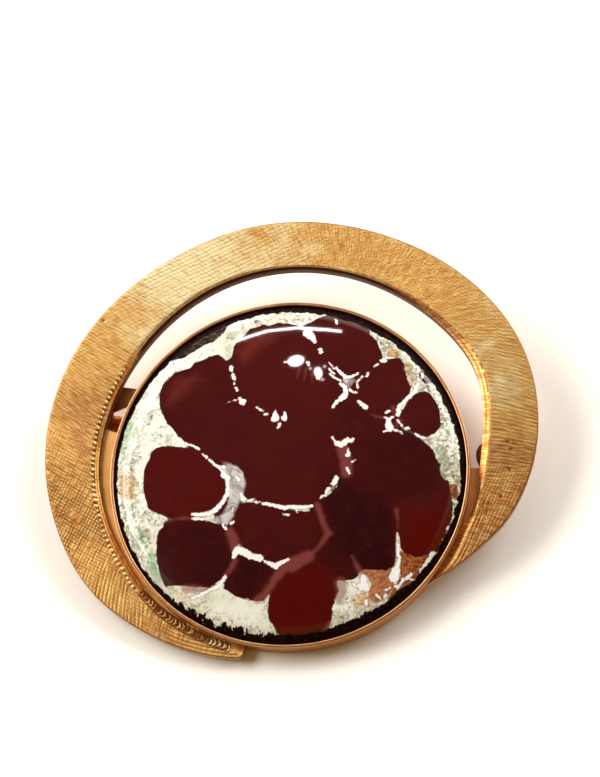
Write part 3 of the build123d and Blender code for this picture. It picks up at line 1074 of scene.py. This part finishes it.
def enamel(material):
    """The glass: its top as a grid, then rings down the skirt and over the hollow underside."""
    plan = disc_grid(GLASS_GRID) * ENAMEL_RADIUS
    top = np.column_stack([plan, glass_height(np.minimum(np.hypot(*plan.T), ENAMEL_RADIUS))])
    ids = np.arange(len(plan)).reshape(GLASS_GRID + 1, -1)
    faces = np.stack([ids[:-1, :-1], ids[1:, :-1], ids[1:, 1:], ids[:-1, 1:]], -1).reshape(-1, 4).tolist()
    previous = np.concatenate([ids[:-1, 0], ids[-1, :-1], ids[:0:-1, -1], ids[0, :0:-1]])
    unit = plan[previous] / ENAMEL_RADIUS
    bore = BLANK_RADIUS + PIECE_GAP
    under = ENAMEL_APEX - ENAMEL_THICKNESS
    rings = [(ENAMEL_RADIUS, 1.3), (ENAMEL_RADIUS, ENAMEL_FOOT), (bore, ENAMEL_FOOT)]
    rings += [(r, dome_height(r, under)) for r in (bore, 12.0, 8.0, 4.0)]
    verts, total = [top], len(top)
    for radius, height in rings:
        verts.append(np.column_stack([unit * radius, np.full(len(unit), height)]))
        ring = np.arange(total, total + len(unit))
        total += len(unit)
        faces += np.stack([previous, ring, np.roll(ring, -1), np.roll(previous, -1)], 1).tolist()
        previous = ring
    verts.append([[0, 0, under]])
    faces += [[a, total, b] for a, b in zip(previous.tolist(), np.roll(previous, -1).tolist())]
    verts = np.concatenate(verts)
    attributes = {}
    for name, (values, limit, below) in enamel_pattern(plan).items():
        attributes[name] = np.append(np.clip(values, -limit, limit), np.full(len(verts) - len(top), below))
    mesh_piece("enamel", verts, faces, "enamel_dome", material, attributes)


def hatching(s, place, direction, pitch):
    """Straight parallel cut lines that run in a direction and break off here and there: 0 to 1."""
    turned = s.node("ShaderNodeVectorRotate", place, rotation_type="Z_AXIS")
    turned.inputs["Angle"].default_value = math.radians(-direction)
    x, y, _ = s.parts(turned.outputs[0])
    bent = s.plus(s.times(y, 2 * math.pi / pitch), s.noise(place, 0.6), 2.5)
    patch = s.noise(s.along(s.times(x, 0.5), s.times(y, 3.0)), 1.0)
    return s.times(s.step(s.math("SINE", bent), 0.2, 0.95), s.step(patch, 0.32, 0.52))


def gold_material():
    """Engraved gold-coloured brass: cut lines, cross-hatching, stippling and tarnish in the cut lines, with
    painted light and shade along the band and painted shade in its darkened places.
    """
    s = Shader("engraved_gold")
    place = s.place()
    matt, dark = s.attribute("matt"), s.attribute("dark")
    streaks = s.along(s.times(s.attribute("line_u"), 8.0), s.times(s.attribute("line_v"), 0.8))
    streaks = s.noise(streaks, 1.0, 3, 0.6)
    blotch = s.noise(place, 0.35, 3, 0.6)
    grain = s.noise(place, 4.5, 3, 0.75)
    turned = s.node("ShaderNodeMapping", place)
    turned.inputs["Rotation"].default_value = (0, 0, math.radians(38))
    turned.inputs["Scale"].default_value = (0.5, 6.0, 1.0)
    brush = s.noise(turned.outputs[0], 1.0, 3, 0.65)
    hatch = s.times(hatching(s, place, -31, 0.29), s.attribute("down"))
    for direction, pitch, name in ((64, 0.29, "steep"), (24, 0.38, "shallow")):
        hatch = s.math("MAXIMUM", hatch, s.times(hatching(s, place, direction, pitch), s.attribute(name)))
    # darkened places: tarnish in the cut lines and hatching, and painted shade on the walls, between beads
    # and strands and along the outline; the deepest are painted shade and the pits
    cuts_and_shade = s.math("MAXIMUM", dark, s.times(hatch, 0.85), clamp=True)
    recess_shade = s.step(dark, 1.05, 1.6)
    tone = s.plus(s.attribute("tone"), s.less(blotch, 0.5), 2.2)
    # painted shade, darker and copper-coloured, and painted light, pale, along the band with random blotches;
    # then streaks, brushing and stippling, tarnish and painted shade in the darkened places, and the deepest
    # painted shade
    body = s.paint(
        s.mix(s.step(tone, -1, 0), rgb(160, 99, 50), rgb(205, 156, 86)),
        (s.step(tone, 0, 1), rgb(240, 226, 180), 1),
        (s.step(streaks, 0.42, 0.62), rgb(250, 222, 150), 0.40),
        (s.step(streaks, 0.50, 0.36), rgb(176, 106, 48), 0.45),
        (s.times(s.step(brush, 0.46, 0.66), matt), rgb(172, 104, 48), 0.55),
        (s.times(s.step(grain, 0.50, 0.68), matt), rgb(150, 88, 40), 0.60),
        (s.step(cuts_and_shade, 0.08, 0.85), rgb(100, 54, 22), 0.86),
        (recess_shade, rgb(58, 26, 12), 1),
    )
    height = s.plus(s.times(streaks, 0.4), hatch, -1.0)
    height = s.plus(height, s.times(grain, matt), 1.2)
    height = s.plus(height, s.times(brush, matt), 0.8)
    # the tarnish and the painted shade also make the surface less metallic and rougher
    return s.set(
        Base_Color=body,
        Metallic=s.math("SUBTRACT", s.plus(1.0, cuts_and_shade, -0.35), s.times(recess_shade, 0.5), clamp=True),
        Roughness=s.plus(0.42, s.math("ADD", matt, cuts_and_shade), 0.06),
        Specular_IOR_Level=0.15,
        Normal=s.bump(height, 0.035, 0.9),
    )


def plain_metal(name, base, worn, deep, roughness=0.42, brushed=1.0, wall=None, wall_shade_metal=1.0):
    """Smooth solid metal, rubbed and tarnished. wall: a painted shade colour for its upright walls."""
    s = Shader(name)
    place = s.place()
    cloud = s.noise(place, 0.45, 4, 0.6)
    grain = s.noise(place, 6.0, 3, 0.7)
    rub = s.noise(s.place(0.6, 0.6, 8.0), 1.2, 3, 0.6)
    body = s.paint(
        s.mix(s.step(cloud, 0.35, 0.7), base, worn),
        (s.step(grain, 0.55, 0.75), deep, 0.35),
        (s.attribute("seam"), rgb(70, 34, 20), 0.85),
    )
    metal = 1.0
    # upright walls are painted in shade, and may be less metallic
    if wall:
        facing = s.parts(s.node("ShaderNodeNewGeometry").outputs["Normal"])[2]
        upright = s.step(s.math("ABSOLUTE", facing), 0.20, 0.50, 1.0, 0.0)
        body = s.paint(body, (upright, wall, 0.9))
        if wall_shade_metal < 1:
            metal = s.plus(1.0, upright, wall_shade_metal - 1.0)
    return s.set(
        Base_Color=body,
        Metallic=metal,
        Specular_IOR_Level=0.15,
        Roughness=s.plus(roughness - 0.08, cloud, 0.16),
        Normal=s.bump(s.plus(s.times(grain, 0.6), rub, brushed), 0.012, 0.7),
    )


def enamel_material():
    """Fired glass: dark red cells on a curdled cream ground, with marks, veils, stains and a burnt rim."""
    s = Shader("fired_enamel")
    place = s.place()
    coarse = s.noise(place, 0.9, 3, 0.6)
    ragged = s.noise(place, 3.4, 4, 0.7)
    tiny = s.noise(place, 8.0, 2, 0.6)
    drift = s.noise(place, 0.28, 3)
    curls = s.noise(place, 0.95, 2, 0.55, 0.8)
    rim, soot, curdled = (s.attribute(name) for name in ("rim", "soot", "curdled"))

    def shaped(name, wide, fine):
        """A mask's distance with its edge made uneven, in mm."""
        return s.plus(s.plus(s.attribute(name), s.less(coarse, 0.5), wide), s.less(ragged, 0.5), fine)

    # ground: pale curds, stained in places, with olive and brown between them
    patchy = s.plus(s.less(coarse, 0.60), curdled, 0.14)
    patchy = s.plus(patchy, s.step(rim, -2.2, -0.3), 0.10)
    spread = s.step(patchy, -0.06, 0.06)
    soft_spots = s.times(s.step(s.noise(place, 2.9, 1.5), 0.47, 0.59), curdled)
    gaps = s.times(s.step(s.math("ABSOLUTE", s.less(curls, 0.5)), 0.012, 0.075, 1.0, 0.0), spread)
    specks = s.times(s.step(s.noise(place, 2.2, 1), 0.64, 0.69), spread)
    streaked = s.noise(s.place(0.8, 3.0, 1.0), 1.6, 3, 0.7)
    gap_colour = s.mix(s.step(tiny, 0.35, 0.60), rgb(98, 88, 52), rgb(150, 138, 98))
    brown = s.mix(s.step(ragged, 0.42, 0.60), rgb(104, 52, 26), rgb(162, 100, 56))
    peach = s.mix(s.step(ragged, 0.38, 0.62), rgb(140, 82, 52), rgb(178, 120, 84))
    black = s.mix(s.step(streaked, 0.42, 0.66), rgb(30, 20, 20), rgb(84, 70, 66))
    ground = s.paint(
        s.mix(s.step(drift, 0.35, 0.65), rgb(226, 228, 221), rgb(203, 207, 187)),
        (curdled, rgb(236, 240, 234), 0.6),
        (s.step(shaped("mint", 1.6, 1.4), -0.40, 0.40), rgb(134, 182, 146), 0.80),
        (s.step(shaped("grey", 1.6, 1.4), -0.25, 0.25), rgb(168, 172, 152), 0.85),
        (s.step(shaped("ochre", 1.6, 1.4), -0.35, 0.35), rgb(208, 150, 88), 0.85),
        (s.times(soft_spots, s.plus(0.18, s.step(rim, -2.6, -0.7), 0.62)), rgb(116, 120, 86), 1),
        (gaps, gap_colour, 0.55),
        (specks, rgb(70, 60, 34), 0.7),
        (s.step(shaped("brown", 0.3, 0.35), -0.08, 0.12), brown, 1),
        (s.step(shaped("peach", 0.3, 0.3), -0.05, 0.12), peach, 1),
        (s.step(shaped("soot", 0.25, 0.40), -0.05, 0.05), black, 1),
    )

    # red cells, each darker or brighter, with a painted sheen over two of them and a thin dark line round
    # them in places
    tint = s.plus(s.attribute("tint"), s.less(drift, 0.5), 0.30)
    red = s.paint(
        s.mix(s.step(tint, 0.0, 0.42), rgb(42, 9, 12), rgb(66, 15, 13)),
        (s.step(tint, 0.35, 0.85), rgb(78, 8, 3), 1),
        (s.step(coarse, 0.45, 0.75), rgb(72, 26, 20), 0.30),
        (s.step(shaped("painted_sheen", 1.0, 0.3), -0.6, 1.4), rgb(112, 46, 36), 0.55),
    )
    edge = shaped("red", 0.16, 0.14)
    glazed = s.step(edge, -0.03, 0.03)
    line = s.times(s.step(edge, -0.11, -0.05), s.step(edge, 0.02, 0.08, 1.0, 0.0))
    line = s.times(line, s.step(s.noise(place, 0.8), 0.46, 0.60))

    # over them pink veils, grey mist and white marks with a pinkish fringe, and then the burnt rim
    white = shaped("white", 0.10, 0.50)
    mist = s.mix(s.step(curls, 0.42, 0.62), rgb(146, 132, 136), rgb(198, 196, 200))
    teeth = s.less(s.noise(s.place(2.4, 0.9, 1.0), 1.0, 3, 0.65), 0.5)
    rim_edge = s.plus(shaped("rim", 0.2, 0.25), s.less(curls, 0.5), 0.5)
    burnt = s.step(s.plus(rim_edge, s.times(teeth, s.attribute("ragged")), 2.4), -0.03, 0.05)
    body = s.paint(
        ground,
        (glazed, red, 1),
        (line, rgb(24, 8, 7), 0.9),
        (s.step(shaped("veil", 0.35, 0.30), -0.14, 0.34), rgb(130, 66, 62), 0.66),
        (s.step(shaped("mist", 0.4, 0.35), -0.12, 0.22), mist, 0.9),
        (s.step(white, -0.10, -0.03), rgb(132, 62, 56), 0.7),
        (s.step(white, -0.035, 0.015), rgb(232, 236, 240), 1),
        (burnt, s.mix(s.step(ragged, 0.48, 0.72), rgb(18, 8, 7), rgb(60, 28, 22)), 1),
    )

    dull = s.math("MAXIMUM", burnt, s.step(soot, -0.05, 0.1))
    height = s.times(gaps, s.less(1.0, glazed), -0.6)
    height = s.plus(height, s.times(ragged, dull), 1.6)
    return s.set(
        Base_Color=body,
        Roughness=0.5,
        Specular_IOR_Level=0.0,
        Normal=s.bump(height, 0.03, 0.7),
        Coat_Weight=s.plus(1.0, dull, -0.95),
        Coat_Roughness=0.03,
        Coat_Normal=s.bump(s.noise(place, 0.35), 0.004, 0.5),
    )


# In metres: half the side of the floor, and how far the lamps stand from the disc
FLOOR_REACH, LAMP_DISTANCE = 1.5, 0.6


def floor():
    mesh = bpy.data.meshes.new("floor")
    corners = [(x * FLOOR_REACH, y * FLOOR_REACH, 0) for x, y in ((-1, -1), (1, -1), (1, 1), (-1, 1))]
    mesh.from_pydata(corners, [], [(0, 1, 2, 3)])
    s = Shader("pale_paper")
    place = s.place()
    paper = s.set(
        Base_Color=s.mix(s.step(s.noise(place, 0.01), 0.3, 0.7), rgb(250, 249, 247), rgb(246, 246, 247)),
        Roughness=0.7,
        Normal=s.bump(s.noise(place, 2.0, 3), 0.004, 0.4),
    )
    mesh.materials.append(paper)
    in_scene("floor", mesh)


def direction(azimuth, zenith):
    """A direction in the row frame: azimuth from +X towards +Y, zenith from straight up."""
    a, z = math.radians(azimuth), math.radians(zenith)
    return Vector((math.cos(a) * math.sin(z), math.sin(a) * math.sin(z), math.cos(z)))


def lamp(name, centre, width, height, brightness, colour=(1, 1, 1), along=None, round_=False):
    """A lamp that faces the disc from a direction. width and height are angles as the disc sees them, and
    along is the direction that its width runs in, which is level where none is given."""
    light = bpy.data.lights.new(name, "AREA")
    light.shape = "ELLIPSE" if round_ else "RECTANGLE"
    light.size, light.size_y = (2 * LAMP_DISTANCE * math.tan(math.radians(v) / 2) for v in (width, height))
    light.energy = brightness * math.pi * light.size * light.size_y * (math.pi / 4 if round_ else 1)
    light.color = colour
    back = centre.normalized()
    side = (Vector((0, 0, 1)).cross(back) if along is None else along).normalized()
    side = (side - back * side.dot(back)).normalized()
    axes = Matrix((side, back.cross(side), back)).transposed()
    where = Matrix.Translation(DISC_CENTRE * MM + back * LAMP_DISTANCE)
    in_scene(name, light).matrix_world = where @ axes.to_4x4()


def lights():
    bend = [direction(117.0, 36.0), direction(108.5, 35.4), direction(100.0, 34.35), direction(89.0, 32.95)]
    for number, (start, end) in enumerate(zip(bend, bend[1:]), 1):
        width = math.degrees(start.angle(end)) + 0.1
        lamp(f"window_edge_{number}", start + end, width, 0.5, 34.0, along=end - start)
    spots = table(
        "Spot",
        "name azimuth zenith width height brightness colour",
        ("lamp_spot", 103.1, 28.5, 2.5, 2.0, 34.0, (1, 1, 1)),
        ("lamp_spot_small", 96.6, 25.7, 1.2, 1.9, 26.0, (1, 1, 1)),
        ("lamp_glint_1", 95.3, 24.3, 0.6, 0.5, 14.0, (0.9, 0.95, 1.0)),
        ("lamp_glint_2", 99.0, 26.6, 0.45, 0.5, 14.0, (0.9, 0.95, 1.0)),
        ("lamp_glint_3", 94.2, 26.6, 0.5, 0.5, 14.0, (0.9, 0.95, 1.0)),
    )
    for s in spots:
        at = direction(s.azimuth, s.zenith)
        lamp(s.name, at, s.width, s.height, s.brightness, s.colour, round_=True)
    lamp("softbox_left", direction(159, 48), 44, 24, 8.2, (1.0, 0.94, 0.82))
    lamp("softbox_right", direction(40, 54), 40, 24, 6.0, (1.0, 0.96, 0.88))


def room():
    """Pale surroundings, white on the side of the window and warm and dim opposite, with a dark ceiling where
    the flat of the brooch mirrors it."""
    world = bpy.data.worlds.new("pale_room")
    bpy.context.scene.world = world
    world.use_nodes = True
    s = Nodes(world.node_tree)
    s.tree.nodes.clear()
    at = s.node("ShaderNodeTexCoord").outputs["Generated"]

    def towards(axis, low, high, at_low, at_high):
        """From at_low to at_high as directions turn to an axis."""
        dot = s.node("ShaderNodeVectorMath", at, axis, operation="DOT_PRODUCT").outputs["Value"]
        return s.step(dot, low, high, at_low, at_high)

    to_window = towards(direction(105, 75), -0.10, 0.60, 0.0, 1.0)
    colour = s.mix(to_window, (0.30, 0.17, 0.04, 1), (1.9, 1.89, 1.86, 1))
    strength = towards(direction(105, 12.8), 0.75, 0.90, 1.0, 0.03)
    background = s.node("ShaderNodeBackground", colour, strength)
    s.node("ShaderNodeOutputWorld", background.outputs[0])


# The camera, fitted to the disc's outline in the photograph: in the brooch's frame, CAMERA_DISTANCE from a
# point CAMERA_TARGET_HEIGHT above the seat's back. Pixels are those of a frame 600 wide and 777 high.
FRAME_WIDTH, FRAME_HEIGHT = 600, 777
CAMERA_ELEVATION, CAMERA_AZIMUTH, CAMERA_ROLL = 71.108, -69.464, -21.6
CAMERA_DISTANCE, CAMERA_TARGET_HEIGHT = 220.0, 1.85
CAMERA_FOCAL_PIXELS, CAMERA_CENTRE_X, CAMERA_CENTRE_Y = 2455.0, 288.36, 471.56
SENSOR_WIDTH = 36.0
# In metres
CLIP_START, CLIP_END = 0.01, 10.0


def camera():
    e, a, roll = (math.radians(v) for v in (CAMERA_ELEVATION, CAMERA_AZIMUTH, CAMERA_ROLL))
    back = Vector((math.cos(e) * math.cos(a), math.cos(e) * math.sin(a), math.sin(e)))
    level = Vector((-math.sin(a), math.cos(a), 0))
    upright = back.cross(level)
    right = math.cos(roll) * level + math.sin(roll) * upright
    up = -math.sin(roll) * level + math.cos(roll) * upright
    where = placed([back * CAMERA_DISTANCE + Vector((0, 0, CAMERA_TARGET_HEIGHT))])[0]
    axes = Matrix([TIPPED @ right, TIPPED @ up, TIPPED @ back]).transposed()
    data = bpy.data.cameras.new("camera")
    data.sensor_fit = "HORIZONTAL"
    data.sensor_width = SENSOR_WIDTH
    data.lens = SENSOR_WIDTH * CAMERA_FOCAL_PIXELS / FRAME_WIDTH
    data.shift_x = (FRAME_WIDTH / 2 - CAMERA_CENTRE_X) / FRAME_WIDTH
    data.shift_y = (CAMERA_CENTRE_Y - FRAME_HEIGHT / 2) / FRAME_WIDTH
    data.clip_start, data.clip_end = CLIP_START, CLIP_END
    item = in_scene("camera", data)
    item.matrix_world = Matrix.Translation(Vector(where)) @ axes.to_4x4()
    bpy.context.scene.camera = item


# plain metals, each by its own colour, where it is rubbed and where it is dirty
rose = rgb(208, 152, 104), rgb(224, 174, 126), rgb(150, 94, 58)
plate = rgb(228, 160, 92), rgb(240, 180, 112), rgb(170, 104, 60)
copper = rgb(164, 88, 58), rgb(204, 124, 86), rgb(84, 42, 30)
pin = rgb(150, 84, 40), rgb(184, 116, 62), rgb(76, 40, 18)

swirl_band(gold_material())
# the bezel's and the gallery plate's upright walls are painted in shade
bezel(plain_metal("rubbed_rose_metal", *rose, wall=rgb(188, 124, 68)))
gallery(plain_metal("rubbed_gallery_metal", *plate, wall=rgb(70, 30, 14), wall_shade_metal=0.0))
enamel(enamel_material())
for name, material in (
    ("copper_blank", plain_metal("fire_darkened_copper", *copper, brushed=0.5)),
    ("pin_back", plain_metal("pin_brass", *pin, roughness=0.34)),
):
    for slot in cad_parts[name].material_slots:
        slot.material = material

floor()
lights()
room()
camera()
bpy.context.scene.view_settings.view_transform = "Standard"
